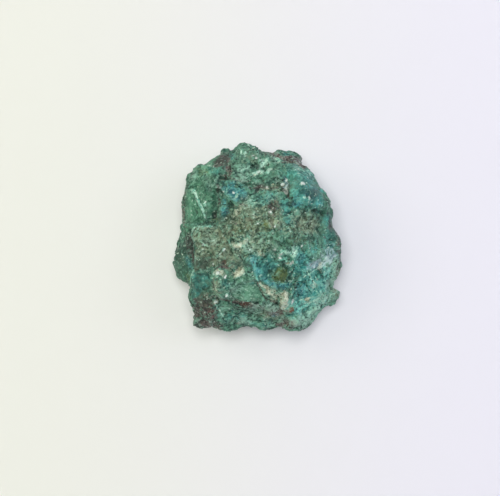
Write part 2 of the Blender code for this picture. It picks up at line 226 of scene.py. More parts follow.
# Where each mineral lies on the upper side: (x, y, reach along, reach across, turn, amount), with the
# later ones laid over the earlier
PATCHES = {
    "leaf_green": (
        (-9.6, 13.6, 3.8, 2.0, 35, 0.75),
        (-11.8, 10.4, 2.4, 3.4, -20, 0.75),
        (-13.4, 7.6, 1.2, 4.6, 0, 0.6),
        (-14.6, -7.0, 1.6, 2.2, -20, 0.5),
        (-13.9, 1.4, 1.0, 1.8, 0, 0.9),
        (14.2, 6.6, 1.4, 2.6, -10, 0.7),
        (0.6, -1.6, 3.0, 1.6, 20, 0.5),
        (4.6, -0.4, 3.4, 1.4, 10, 0.55),
        (-6.8, -14.6, 1.4, 2.0, 10, 0.6),
        (-2.4, -15.4, 2.4, 1.4, 0, 0.5),
        (8.8, -14.6, 2.6, 2.0, 0, 0.5),
        (-4.8, -8.0, 1.6, 0.8, 30, 0.6),
        (12.8, 11.0, 1.6, 3.0, 30, 0.5),
        (7.6, 12.6, 1.4, 1.4, 0, 0.7),
        (4.4, -6.0, 1.6, 0.5, 0, 0.8),
        (4.2, -8.0, 2.2, 0.5, 0, 0.5),
        (-6.9, -14.4, 0.8, 1.6, 28, 0.8),
        (-3.0, 13.0, 2.0, 1.6, 0, 0.5),
    ),
    "matrix": (
        (-6.0, -3.6, 4.0, 3.2, 0, 0.7),
        (-2.6, 3.2, 5.2, 3.4, 10, 0.9),
        (2.6, 4.2, 3.0, 3.6, -20, 0.9),
        (3.6, 9.8, 3.6, 1.4, 0, 0.7),
        (7.2, 2.2, 3.2, 3.0, 0, 0.55),
        (9.9, 2.8, 2.2, 2.4, 0, 1.0),
        (0.2, -0.8, 3.6, 3.0, 0, 0.6),
        (-0.4, 15.2, 3.4, 2.2, 0, 0.5),
        (-15.2, -4.0, 1.2, 2.4, 0, 0.35),
        (3.2, -15.0, 3.0, 1.6, 0, 0.7),
        (-9.8, -12.8, 2.4, 3.6, 0, 0.6),
        (-7.8, -9.8, 0.9, 2.4, 0, 0.7),
        (16.2, -6.6, 0.8, 2.2, 0, 0.8),
        (15.6, -10.8, 1.0, 1.8, 0, 0.9),
    ),
    "teal": (
        (-7.6, 13.4, 2.2, 1.6, 20, 0.55),
        (-9.0, 10.0, 1.4, 2.4, -20, 0.55),
        (9.0, 12.0, 4.0, 3.0, -30, 0.75),
        (9.6, 8.0, 4.0, 2.6, -20, 0.8),
        (5.4, 5.4, 1.6, 3.0, 0, 0.7),
        (2.2, 7.6, 3.4, 1.6, 10, 0.6),
        (14.4, -0.6, 1.8, 3.0, 0, 0.7),
        (14.0, 3.4, 1.2, 1.8, 0, 0.7),
        (-5.6, -9.4, 1.0, 1.4, -20, 0.5),
        (-4.2, -15.6, 4.4, 1.8, 0, 0.5),
        (1.6, -17.0, 3.4, 1.2, 0, 0.5),
        (1.6, -6.0, 2.6, 2.4, -30, 0.95),
        (8.6, -5.2, 2.4, 3.0, 0, 0.8),
        (11.4, -7.6, 3.2, 2.2, 0, 0.9),
        (-1.4, 15.0, 2.6, 2.0, 0, 0.35),
        (6.2, 16.6, 1.0, 0.6, 0, 0.9),
        (11.0, -2.2, 2.2, 2.4, 0, 0.55),
        (13.0, -8.9, 1.3, 1.0, 0, 1.0),
        (-5.0, 16.2, 0.9, 0.7, -20, 0.9),
    ),
    "blue": (
        (-5.2, 9.3, 1.7, 1.7, 10, 0.85),
        (-3.6, 8.6, 1.6, 1.5, -10, 0.9),
        (-6.4, 7.2, 0.7, 1.0, 20, 0.7),
        (-6.2, 5.2, 0.8, 1.6, -10, 0.8),
        (-0.8, -4.2, 0.8, 1.1, -20, 0.7),
        (10.8, 8.8, 1.7, 1.1, 0, 1.0),
        (7.8, 6.9, 1.2, 1.0, 0, 0.75),
        (11.6, 6.4, 1.6, 0.7, 10, 0.5),
        (8.7, -4.2, 1.0, 1.4, 0, 0.6),
        (14.9, -1.6, 1.6, 2.2, 0, 0.45),
        (8.4, -10.4, 1.4, 1.6, 0, 0.6),
        (11.8, -10.2, 1.2, 2.2, 20, 0.35),
        (-13.6, -4.6, 0.6, 1.7, 12, 0.7),
        (-10.8, -7.4, 1.4, 0.9, 0, 0.4),
    ),
    "turquoise": (
        (11.2, -11.4, 3.8, 3.0, 20, 0.95),
        (9.2, -13.8, 3.4, 2.4, 0, 0.9),
        (14.0, -7.6, 1.6, 2.4, 0, 0.6),
        (10.0, -3.4, 2.2, 1.4, 0, 0.4),
        (8.8, 13.2, 2.6, 1.6, -30, 0.3),
        (-4.9, 10.0, 0.8, 0.6, 30, 0.6),
        (-6.0, 9.2, 0.5, 0.8, 20, 0.6),
        (9.3, -5.3, 1.3, 1.2, 0, 1.2),
        (8.3, -8.4, 1.0, 0.8, 0, 0.6),
        (-0.2, -8.5, 1.0, 1.0, 0, 1.3),
        (-6.2, 5.6, 0.4, 1.2, -20, 0.5),
        (8.9, -3.4, 0.7, 0.5, 20, 0.7),
    ),
    "mint": (
        (-0.9, 6.9, 1.1, 1.0, 0, 0.55),
        (-2.6, 16.4, 1.2, 0.8, 0, 0.35),
        (0.3, 12.6, 1.6, 0.4, 12, 0.9),
        (-2.5, 13.2, 1.5, 0.5, -5, 0.5),
        (1.4, 14.6, 0.4, 1.3, -35, 0.9),
        (3.8, 15.3, 1.0, 0.5, -40, 0.8),
        (3.8, -3.2, 0.9, 0.6, -30, 1.3),
        (5.0, -3.0, 0.8, 0.5, 20, 1.3),
        (4.9, -4.0, 1.0, 0.35, 15, 1.6),
        (7.3, -2.6, 0.5, 0.8, 8, 1.4),
        (6.9, -4.1, 0.5, 0.8, -15, 1.3),
        (6.2, -3.2, 0.5, 0.7, 0, 1.3),
        (6.0, -4.9, 0.9, 0.4, -40, 1.0),
        (13.2, -11.9, 2.2, 1.1, 20, 0.75),
        (9.8, -15.2, 2.6, 1.2, 20, 0.5),
        (12.0, -13.8, 1.6, 0.8, 40, 0.6),
        (-12.5, 9.2, 0.4, 0.7, 20, 0.7),
        (15.0, -9.2, 0.5, 1.4, 0, 0.6),
        (9.6, 12.8, 1.8, 1.2, 0, 0.3),
        (-7.8, -6.9, 0.5, 0.4, 0, 1.1),
        (-6.0, -11.0, 0.25, 0.3, 0, 1.2),
        # the next three small spots are painted highlights on the dome
        (8.9, 10.5, 0.3, 0.25, 20, 1.5),
        (10.2, 7.6, 0.25, 0.35, 30, 1.7),
        (9.1, 7.7, 0.35, 0.25, 0, 1.2),
        (-10.3, -1.4, 0.25, 0.25, 0, 4.0),
        (-6.4, -2.4, 0.3, 0.25, 0, 4.0),
        (-11.6, 1.5, 0.9, 0.4, 0, 1.2),
        (-10.0, 6.6, 0.3, 0.5, 0, 2.0),
        (-9.4, 10.4, 0.2, 0.2, 0, 1.8),
        (-3.0, 16.8, 0.22, 0.2, 0, 1.4),
        (0.9, 14.9, 0.3, 0.22, 30, 1.2),
        (2.4, 13.2, 0.3, 0.5, -30, 1.6),
        (-3.9, 8.3, 0.25, 0.3, 0, 0.9),
    ),
    "cream": (
        (-3.6, -1.5, 0.9, 0.8, -40, 0.9),
        (-4.6, -0.9, 0.5, 0.5, 0, 0.6),
        (-2.1, -0.9, 0.5, 1.0, 10, 0.7),
        (-1.0, -1.4, 1.0, 1.0, 0, 0.35),
        (0.8, -3.2, 1.0, 0.7, 0, 0.6),
        (-3.4, -6.6, 0.55, 1.1, -38, 1.5),
        (-7.3, -6.8, 0.9, 0.5, -20, 0.9),
        (5.3, -12.4, 0.6, 1.3, -5, 1.6),
        (5.6, -10.9, 0.9, 0.5, 0, 0.8),
        (4.7, -11.0, 1.3, 0.5, 0, 0.55),
        (2.0, -10.4, 0.6, 2.2, 38, 0.8),
        (3.4, -11.4, 1.2, 1.2, 0, 0.65),
        (-3.9, 4.8, 0.7, 1.6, -25, 0.6),
        (0.0, 12.3, 1.4, 0.3, 12, 0.5),
        (2.0, 9.6, 0.4, 0.3, 0, 0.9),
        (3.1, 10.5, 0.4, 0.3, 0, 0.9),
        (2.9, 2.6, 0.5, 1.0, 10, 0.6),
        (2.6, 4.9, 0.5, 0.9, 10, 0.45),
        (11.2, -9.4, 0.4, 0.5, 0, 0.4),
        (12.2, -5.8, 0.4, 1.4, 0, 0.5),
        (-8.0, -9.9, 0.4, 0.6, 0, 0.6),
        (-8.0, -12.5, 0.4, 0.45, 0, 1.5),
        (6.3, -4.7, 0.5, 0.3, -40, 1.0),
        (9.8, -12.2, 0.35, 0.5, 0, 1.2),
    ),
    # Pale lilac: partly the stone's colour, partly a painted sheen, the cool right light's reflection on
    # faces turned to the right
    "lilac_and_sheen": (
        (14.3, -3.9, 2.2, 1.3, -150, 0.7),
        (11.2, -5.2, 1.7, 0.8, 25, 1.0),
        (5.6, 10.4, 0.5, 1.0, 10, 0.8),
        (-6.9, 10.2, 0.8, 0.7, 0, 0.35),
        (3.2, -15.2, 1.6, 1.0, 0, 0.4),
        (8.2, 15.6, 1.6, 0.7, -14, 0.4),
        (14.8, -2.8, 1.5, 1.3, 0, 0.6),
        (1.6, -13.4, 1.6, 0.6, 0, 0.5),
        (-8.0, -12.0, 0.5, 1.6, 0, 0.3),
        (12.6, -6.0, 0.5, 1.0, 0, 0.5),
        (-11.4, -8.6, 0.4, 0.4, 0, 0.5),
    ),
    # Umber: brown-grey patches of the stone, with some painted shade
    "umber_and_shade": (
        (-6.8, 15.2, 1.8, 1.1, 35, 1.1),
        (-5.6, 13.6, 0.8, 1.4, 20, 0.7),
        (-6.4, 12.0, 1.4, 0.5, 0, 0.6),
        (-7.9, 9.9, 0.6, 1.8, 0, 0.75),
        (-7.6, 6.9, 0.4, 0.7, 0, 0.8),
        (-8.3, 4.4, 0.7, 1.0, 0, 0.6),
        (0.6, 9.8, 2.2, 1.0, 0, 0.6),
        (3.8, 9.6, 2.0, 0.7, 10, 0.5),
        (6.1, 7.9, 0.4, 0.6, 0, 0.9),
        (5.6, 10.0, 0.7, 1.4, 10, 0.75),
        (7.4, 15.4, 2.6, 0.7, -14, 1.3),
        (9.4, 14.6, 1.0, 1.0, 0, 1.0),
        (3.8, 16.4, 1.8, 0.8, -10, 0.9),
        (8.8, 15.4, 1.2, 1.0, -30, 1.1),
        (-11.9, -14.0, 1.1, 3.2, 0, 0.8),
        (-10.4, -17.0, 3.0, 0.9, 0, 0.8),
        (13.8, -2.0, 0.7, 1.4, 20, 0.4),
        (3.2, 5.6, 1.2, 2.2, -20, 0.6),
        (-4.6, 3.4, 1.6, 1.6, 0, 0.45),
        (-3.0, 6.2, 1.4, 0.6, 10, 0.5),
        # the dark band under the middle block's cliff: painted shade
        (-13.4, -1.2, 0.7, 2.2, 0, 1.0),
        (-9.6, -14.2, 2.2, 3.0, 0, 0.75),
        (-8.2, -9.6, 0.7, 1.8, 0, 0.5),
        (3.8, -14.4, 1.8, 1.0, 0, 1.0),
        (3.4, -12.8, 0.6, 0.9, 30, 0.7),
        (6.2, -17.2, 1.9, 0.7, 0, 1.3),
        (-6.6, -5.2, 1.8, 0.9, 0, 0.9),
        (-9.6, -4.6, 1.8, 1.2, 0, 0.9),
        (14.4, -0.6, 1.6, 1.6, 0, 0.35),
        (16.4, -1.4, 0.8, 3.0, 10, 0.6),
        (14.6, 2.6, 0.8, 1.6, 0, 0.55),
        (12.4, -6.4, 0.5, 0.7, 0, 0.5),
        (-9.0, -17.6, 2.6, 0.7, -8, 0.8),
        (-3.6, -17.0, 1.6, 0.4, 0, 0.6),
        (-14.2, 5.4, 0.7, 3.2, 0, 0.8),
        (-11.4, -8.6, 0.7, 0.6, 0, 0.6),
    ),
    "rust": (
        (-6.2, -4.8, 0.5, 0.5, 30, 2.4),
        (-2.0, -13.1, 1.0, 0.55, -20, 1.3),
        (6.8, -14.3, 0.6, 0.6, 0, 0.9),
        (4.4, -14.6, 1.4, 0.8, 0, 0.5),
        (-8.6, -15.0, 1.2, 1.6, 0, 0.5),
        (-4.8, -0.9, 0.5, 0.5, 0, 0.4),
        (-7.9, -3.6, 0.8, 0.8, 0, 0.3),
        (3.0, 7.0, 0.8, 1.4, 0, 0.35),
        (6.4, -17.2, 1.2, 0.5, 0, 0.5),
        (-6.0, 11.6, 0.5, 0.3, 0, 0.5),
    ),
    "moss": (
        (4.4, -7.1, 1.7, 1.1, 10, 1.2),
        (-3.2, 1.4, 3.6, 1.4, 10, 0.45),
        (1.8, 2.6, 2.4, 1.6, 0, 0.5),
        (0.4, -1.8, 2.6, 1.5, 20, 0.6),
        (7.6, -0.8, 2.0, 1.0, 20, 0.4),
        (6.8, -14.0, 0.8, 0.8, 0, 0.7),
        (-8.2, 3.4, 0.8, 0.7, 0, 0.5),
        (-13.6, -8.0, 0.6, 1.4, 30, 0.6),
        (-10.8, 13.0, 1.2, 1.0, 0, 0.6),
    ),
    # White specks: painted highlights, glints on the crystals
    "painted_glints": (
        (4.8, 10.6, 0.25, 0.25, 0, 1.7),
        (5.7, 11.2, 0.2, 0.2, 0, 1.5),
        (5.6, 9.4, 0.2, 0.2, 0, 1.5),
        (5.5, 8.8, 0.25, 0.4, -10, 1.7),
        (9.0, 10.5, 0.25, 0.3, 30, 1.35),
        (10.3, 7.6, 0.22, 0.35, 30, 1.5),
        (2.0, 10.1, 0.25, 0.2, 0, 1.2),
        (-8.0, -12.5, 0.28, 0.28, 0, 1.7),
        (-10.4, -1.4, 0.18, 0.18, 0, 3.4),
        (-6.3, -2.5, 0.22, 0.18, 0, 3.4),
        (-8.3, -5.2, 0.14, 0.14, 0, 3.4),
        (-7.6, -6.9, 0.3, 0.25, 0, 1.2),
        (-6.1, -7.7, 0.2, 0.2, 0, 1.5),
        (-6.0, -11.2, 0.18, 0.2, 0, 1.5),
        (-0.4, 16.0, 0.22, 0.18, 30, 1.35),
        (0.2, 15.3, 0.2, 0.2, 0, 1.2),
        (0.6, 12.8, 0.35, 0.15, 10, 1.2),
        (0.2, 2.8, 0.16, 0.2, 0, 1.2),
        (3.5, 2.4, 0.16, 0.4, -10, 1.2),
        (2.6, 4.9, 0.2, 0.2, 0, 1.2),
        (3.4, -2.3, 0.2, 0.2, 0, 1.5),
        (4.8, -3.1, 0.35, 0.2, 10, 1.3),
        (4.6, -3.9, 0.4, 0.18, -10, 1.35),
        (6.9, -4.9, 0.25, 0.35, -20, 1.3),
        (8.7, -1.5, 0.16, 0.2, 0, 1.2),
        (-1.4, -2.2, 0.2, 0.2, 0, 1.1),
        (7.2, -12.6, 0.3, 0.3, -30, 1.35),
        (5.2, -13.8, 0.2, 0.4, 10, 1.35),
        (-9.7, 5.2, 0.16, 0.16, 0, 1.7),
        (-9.9, 7.0, 0.16, 0.18, 0, 1.7),
        (-6.6, 9.3, 0.2, 0.16, 0, 1.1),
        (-4.4, 8.9, 0.2, 0.2, 0, 1.1),
    ),
}

# Where the surface is darkened and where it is lightened, as ovals of the same kind. The dark ones are
# partly real stains and partly painted shade where the stone lies in shadow
STAINS_AND_SHADE = (
    (-15.4, -4.4, 1.8, 3.4, 10, 0.7),
    (-13.4, -1.4, 0.9, 2.2, 0, 1.0),
    (-10.6, -4.8, 2.2, 1.8, 0, 1.0),
    (-6.2, -2.8, 1.4, 1.2, 0, 0.5),
    (-10.6, -11.8, 2.2, 1.4, 0, 0.65),
    (14.6, 1.6, 1.0, 2.4, 0, 0.4),
    (-9.0, 10.6, 0.7, 1.6, -20, 0.25),
    (-10.4, 7.4, 0.5, 1.6, -25, 0.6),
    (-9.8, -13.6, 2.0, 3.6, 0, 0.3),
    (-12.2, -12.4, 0.9, 3.4, 8, 0.6),
    (15.0, 0.8, 1.6, 2.6, 0, 0.6),
    (14.4, 4.4, 1.2, 2.4, 0, 0.6),
    (16.6, -1.6, 1.0, 2.6, 10, 0.6),
    (4.0, -5.7, 1.6, 0.7, -5, 0.6),
    (2.8, -6.6, 0.7, 1.4, 10, 0.6),
    (0.9, -7.2, 0.9, 0.8, -40, 0.45),
    (6.6, -9.6, 1.6, 0.9, 20, 0.3),
    (6.4, 14.0, 2.6, 0.7, -10, 0.6),
    (-13.8, 7.4, 0.7, 3.4, 0, 0.5),
    (-6.6, 15.4, 1.8, 1.2, 30, 0.8),
    (-1.2, 16.0, 2.2, 1.2, 0, 0.35),
    (10.8, 8.6, 1.6, 1.1, 0, 1.2),
    (7.6, 15.6, 2.6, 0.8, -14, 0.3),
    (-6.2, -4.8, 1.6, 1.0, 0, 0.7),
    (14.4, 6.6, 0.9, 1.8, -10, 0.5),
    (-8.2, 4.6, 0.8, 1.2, 0, 0.45),
    (-0.6, 17.2, 1.2, 1.0, 0, 0.3),
    (-7.4, 9.8, 0.8, 2.6, 0, 0.35),
    (-6.7, 3.8, 1.3, 1.1, 0, 0.8),
    (-2.6, 7.8, 1.1, 0.8, 0, 0.85),
    (3.4, 13.5, 1.0, 0.8, 0, 0.6),
    (8.2, 11.2, 1.2, 0.9, 0, 0.5),
    (1.7, 9.9, 1.4, 0.8, 0, 0.5),
    (-15.0, -2.4, 1.4, 1.4, 0, 1.2),
    (-13.2, -4.6, 1.0, 1.2, 0, 0.8),
    (-13.0, 3.4, 0.9, 1.3, 0, 0.6),
    (-7.6, -3.6, 1.2, 1.0, 0, 0.5),
    (12.2, -9.1, 1.0, 0.9, 0, 0.4),
    (-3.4, -5.0, 1.3, 0.9, 0, 0.85),
    (-3.5, 7.6, 1.3, 0.8, 0, 0.5),
    (3.8, -9.8, 1.1, 0.7, 0, 0.6),
    (2.9, -4.4, 1.2, 0.8, 0, 0.6),
    (6.2, -10.0, 0.9, 0.6, 0, 0.45),
    (10.8, 6.0, 2.6, 0.7, -10, 0.45),
    (-9.0, 2.8, 2.0, 0.5, 5, 0.5),
    (12.6, -6.6, 0.8, 1.4, 0, 0.4),
    (-2.0, -13.4, 3.4, 0.6, -5, 0.6),
    (-1.0, -4.4, 0.9, 1.2, 0, 0.35),
    (8.8, -7.4, 1.2, 1.0, 0, 0.3),
    (11.6, -8.2, 1.8, 1.0, 0, 0.4),
    (1.4, -8.9, 0.3, 2.0, 38, 0.6),
)
# The pale ones: partly a real pale bloom, partly painted light that lifts faces turned away from the
# lamps
BLOOMS_AND_LIGHT = (
    (-4.0, -9.7, 1.4, 1.3, 0, 0.65),
    (13.6, -11.8, 2.2, 1.2, 20, 0.75),
    (11.6, -14.8, 2.4, 1.2, 35, 0.85),
    (9.6, -16.4, 3.0, 1.2, 15, 1.2),
    (3.0, -17.0, 2.6, 0.9, 0, 0.5),
    (4.4, -3.4, 1.2, 0.6, 0, 0.5),
    (7.3, -3.2, 0.9, 1.8, 10, 0.3),
    (2.9, -1.8, 1.2, 0.9, 0, 0.6),
    (-4.9, -11.6, 1.0, 0.6, 0, 0.6),
    (13.8, -4.4, 2.4, 1.6, -30, 0.45),
    (8.2, 13.4, 2.4, 1.0, -30, 0.35),
    (1.2, 14.4, 2.4, 1.6, 0, 0.3),
    (1.0, -1.6, 2.4, 1.6, 20, 0.55),
    (15.2, -6.4, 0.9, 2.4, 0, 0.6),
    (-11.4, 1.4, 1.4, 0.7, 0, 0.3),
    (-6.4, -14.8, 0.8, 1.8, 20, 0.5),
    (-9.4, -0.4, 2.8, 1.6, 0, 0.35),
    (9.9, 2.9, 1.4, 1.4, 0, 0.35),
    (-10.8, 12.4, 1.6, 1.4, 30, 0.35),
    (1.8, 7.8, 1.6, 1.0, 10, 0.35),
    (-7.6, -10.4, 0.8, 1.4, 0, 0.35),
    (3.0, -11.0, 1.6, 1.2, 30, 0.35),
    (-3.0, 4.6, 1.8, 1.6, -20, 0.3),
    (-2.7, 13.2, 1.6, 1.0, 0, 0.7),
    (-3.1, 11.6, 1.2, 0.9, 0, 0.8),
    (5.6, 13.6, 0.9, 0.8, 0, 0.35),
    (-12.4, 12.3, 1.0, 1.2, 0, 0.6),
    (-6.5, 8.9, 0.8, 0.9, 0, 0.5),
    (5.4, -16.1, 1.2, 0.8, 0, 0.6),
    (-2.3, -16.4, 2.4, 0.8, 0, 0.9),
    (1.9, -13.7, 2.8, 0.8, 0, 1.15),
    (14.7, -9.6, 1.1, 1.6, 0, 1.3),
    (4.0, 11.3, 0.9, 0.7, 0, 0.6),
    (-0.9, -8.2, 1.0, 0.8, 0, 0.6),
    (-1.1, -2.0, 1.4, 1.0, 0, 0.8),
    (-0.7, -14.6, 1.4, 0.8, 0, 0.6),
    (-9.3, 10.9, 1.0, 1.2, 0, 0.65),
)

# Thin veins and rims of the minerals, and dark lines of painted shade: (route, half width, amount)
VEINS = {
    "mint": (
        (((-12.3, 9.4), (-11.9, 8.4), (-11.2, 6.8), (-10.4, 5.2)), 0.2, 1.5),
        (((-10.6, 5.4), (-10.0, 4.2)), 0.13, 1.3),
        (((-8.8, 2.2), (-9.7, 2.3), (-12.1, 2.1), (-12.6, 1.4), (-12.9, 0.4), (-12.2, -0.9)), 0.16, 0.95),
        (((-12.1, -3.4), (-12.0, -4.8)), 0.16, 1.1),
        (((-8.2, -12.9), (-7.4, -14.2), (-6.6, -15.6)), 0.2, 0.9),
        (((10.4, -7.0), (10.9, -8.4), (12.0, -9.4)), 0.14, 1.0),
        (((9.6, -12.9), (12.0, -12.4), (14.0, -11.8)), 0.16, 0.9),
        (((9.4, -7.6), (11.6, -6.2), (12.6, -5.8)), 0.14, 0.8),
        (((-9.2, -6.3), (-12.5, -6.4), (-13.0, -8.0), (-13.1, -9.6)), 0.13, 0.8),
        (((9.8, -6.4), (11.2, -8.8), (12.3, -11.4)), 0.16, 0.9),
        (((8.6, -12.2), (11.4, -11.6), (14.0, -10.6)), 0.16, 0.8),
        (((9.0, -14.4), (11.0, -12.6), (12.8, -11.8)), 0.16, 0.7),
        (((15.0, -7.2), (14.6, -9.2), (14.2, -10.8)), 0.16, 0.8),
        (((-4.6, -8.2), (-3.2, -7.2), (-2.0, -6.8), (-0.4, -7.5)), 0.16, 0.7),
        (((-3.4, -7.6), (-2.6, -8.6), (-2.2, -9.0)), 0.16, 0.8),
        (((5.0, 2.7), (6.0, 2.0), (6.6, 1.1)), 0.14, 0.8),
    ),
    "cream": (
        (((0.1, -8.3), (2.2, -10.6), (3.4, -12.2)), 0.24, 0.55),
    ),
    "blue": (
        (((-0.7, -3.8), (-0.5, -5.4), (0.6, -7.3), (2.4, -8.8), (4.6, -9.5), (6.4, -9.2)), 0.9, 0.65),
    ),
    # dark lines along the cracks and under the ledges: painted shade
    "umber_and_shade": (
        (((-12.9, 0.2), (-12.7, -2.0), (-12.6, -4.8)), 0.3, 1.1),
        (((-7.2, 11.4), (-4.6, 11.5), (-1.6, 10.8)), 0.3, 0.6),
        (((3.2, 15.6), (4.6, 14.8), (7.2, 14.9), (9.4, 14.0)), 0.25, 0.7),
        (((-0.2, -8.0), (1.0, -10.4), (2.2, -12.8)), 0.2, 0.8),
        (((-7.4, -11.9), (-5.2, -12.4), (-3.3, -12.9)), 0.3, 0.7),
        (((-4.4, -12.5), (-3.3, -12.8), (-1.3, -13.1), (1.1, -13.7)), 0.5, 1.1),
    ),
}
OVAL_FALL = 0.7  # how steeply an amount falls outwards from an oval's middle

# How much of each mineral the sides and the underside hold on average
HIDDEN_AMOUNTS = {
    "leaf_green": 0.35,
    "matrix": 0.4,
    "teal": 0.4,
    "blue": 0.1,
    "turquoise": 0.1,
    "mint": 0.1,
    "cream": 0.0,
    "lilac_and_sheen": 0.0,
    "umber_and_shade": 0.15,
    "rust": -0.05,
    "moss": 0.05,
    "painted_glints": -0.6,
}
DRIFT_SIZE = 6.0  # of the minerals' patches there
DRIFT_SHARE = 0.55  # how far an amount drifts from its average
DRIFT_NOISE = (0.8, 2.0, 3)  # as in GRAIN_NOISE
DRIFT_STEP = 40.0  # how far apart the minerals' drifts are read

# Hollows and recesses: (rounds of smoothing that they are measured against, depth that counts as full)
HOLLOWS = (5, 0.06)
RECESSES = (40, 0.35)


def smoothstep(low, high, value):
    """0 below low, 1 above high, and a soft ramp between."""
    share = np.clip((value - low) / (high - low), 0.0, 1.0)
    return share * share * (3.0 - 2.0 * share)


def vectors(items, field):
    """One row of three numbers for each item of a mesh."""
    rows = np.empty((len(items), 3), np.float32)
    items.foreach_get(field, rows.ravel())
    return rows.astype(float)


def laid_over(solid, name):
    """An even fine mesh over a solid, in millimetres."""
    shape = bmesh.new()
    shape.from_mesh(solid.data)
    bmesh.ops.scale(shape, vec=(1 / MM,) * 3, verts=shape.verts[:])
    bmesh.ops.remove_doubles(shape, verts=shape.verts[:], dist=SAME_POINT)
    piece = bpy.data.objects.new(name, bpy.data.meshes.new(name))
    shape.to_mesh(piece.data)
    shape.free()
    bpy.context.scene.collection.objects.link(piece)
    net = piece.modifiers.new("Net", "REMESH")
    net.mode = "VOXEL"
    net.voxel_size = VOXEL
    made = bpy.data.meshes.new_from_object(piece.evaluated_get(bpy.context.evaluated_depsgraph_get()))
    piece.modifiers.clear()
    coarse, piece.data = piece.data, made
    bpy.data.meshes.remove(coarse)
    made.name = name
    return piece


class Skin:
    """The points of a closed mesh, and which of them are neighbours."""

    def __init__(self, mesh):
        self.mesh = mesh
        self.points = vectors(mesh.vertices, "co")
        links = np.empty((len(mesh.edges), 2), np.int32)
        mesh.edges.foreach_get("vertices", links.ravel())
        self.starts = np.concatenate([links[:, 0], links[:, 1]])
        self.ends = np.concatenate([links[:, 1], links[:, 0]])
        self.neighbours = np.bincount(self.starts, minlength=len(self.points))

    def smoothed(self, values, rounds):
        """Rows of values after each is averaged with its neighbours, a number of times."""
        count = len(self.points)
        for _ in range(rounds):
            near = [np.bincount(self.starts, row[self.ends], count) for row in values.T]
            values = (values + (np.array(near) / self.neighbours).T) / 2
        return values

    def place(self, points):
        self.points = points
        self.mesh.vertices.foreach_set("co", points.astype(np.float32).ravel())
        self.mesh.update()

    def normals(self):
        return vectors(self.mesh.vertex_normals, "vector")

    def hollowness(self, rounds, full):
        """How far each point lies under its surroundings, from 1 in hollows to -1 on edges."""
        depths = ((self.smoothed(self.points, rounds) - self.points) * self.normals()).sum(axis=1)
        return np.clip(depths / full, -1, 1)

    def mark(self, name, values):
        """Stores a number, or a row of three, at each point, for the finish to read."""
        values = np.asarray(values, np.float32)
        kind, field = ("FLOAT", "value") if values.ndim == 1 else ("FLOAT_VECTOR", "vector")
        layer = self.mesh.attributes.new(name, kind, "POINT")
        layer.data.foreach_set(field, values.ravel())


def from_route(plan, route):
    """Distance from each plan point to an open route of straight runs, negative on its right."""
    nearest = np.full(len(plan), np.inf)
    for start, end in zip(route[:-1], route[1:]):
        run = np.subtract(end, start)
        offset = plan - start
        along = np.clip(offset @ run / (run @ run), 0, 1)
        side = run[0] * offset[:, 1] - run[1] * offset[:, 0]
        distance = np.linalg.norm(offset - along[:, None] * run, axis=1)
        nearest = np.where(distance < np.abs(nearest), np.copysign(distance, side), nearest)
    return nearest


def within(plan, outline):
    """1 inside an outline and 0 outside it, with a narrow soft edge."""
    closed = (*outline, outline[0])
    inside = np.zeros(len(plan), bool)
    for (x1, y1), (x2, y2) in zip(closed[:-1], closed[1:]):
        between = (y1 > plan[:, 1]) != (y2 > plan[:, 1])
        inside ^= between & (plan[:, 0] < x1 + (x2 - x1) * (plan[:, 1] - y1) / (y2 - y1))
    distance = np.abs(from_route(plan, closed))
    return smoothstep(-FACE_EDGE, FACE_EDGE, np.where(inside, distance, -distance))


def from_middle(plan, x, y, reach_along, reach_across, turn):
    """Distance of each plan point from an oval's middle: 1 on its edge."""
    turn = math.radians(turn)
    offset = plan - (x, y)
    along = offset @ (math.cos(turn), math.sin(turn)) / reach_along
    across = offset @ (-math.sin(turn), math.cos(turn)) / reach_across
    return np.hypot(along, across)


def wavy(points, grain, reach):
    """Plan places that stray a little, so that what follows them is irregular."""
    strays = [noise.noise_vector(Vector(point) / grain)[:2] for point in points]
    return points[:, :2] + reach * np.array(strays)


def upward(skin, foot):
    """1 where the stone is seen from above, fading to 0 round its sides and down to its foot."""
    facing_up = smoothstep(*TURNING_DOWN, skin.normals()[:, 2])
    return facing_up * smoothstep(foot, foot + FOOT_FADE, skin.points[:, 2])


def calmness(skin):
    """How much of the roughness is left at each point."""
    plan = wavy(skin.points, *CALM_STRAY)
    left = np.ones(len(plan))
    for *oval, share in CALM_FACES:
        left *= 1 - (1 - share) * (1 - smoothstep(*CALM_EDGE, from_middle(plan, *oval)))
    for outline, share, _ in FACES:
        left *= 1 - (1 - share) * within(plan, outline)
    return 1 - (1 - left) * upward(skin, RELIEF_FOOT)


def flaked(skin, count, slope, bow, rng):
    """Heights of shallow flake scars that meet in crisp edges."""
    seeds = skin.points[rng.choice(len(skin.points), count, replace=False)]
    slopes = rng.normal(0.0, slope, (count, 3))
    tree = kdtree.KDTree(count)
    for index, seed in enumerate(seeds):
        tree.insert(seed, index)
    tree.balance()
    nearest = [tree.find_n(point, FLAKES_MEETING) for point in skin.points]
    near = np.array([[index for _, index, _ in found] for found in nearest])
    offsets = skin.points[:, None, :] - seeds[near]
    scars = (offsets * slopes[near]).sum(axis=2) + bow * (offsets**2).sum(axis=2)
    heights = scars.min(axis=1)
    return heights - heights.mean()


def grained(skin, size, height):
    """Heights of an uneven, grainy surface."""
    places = [Vector(point) / size for point in skin.points]
    return height * np.array([noise.fractal(place, *GRAIN_NOISE) for place in places])


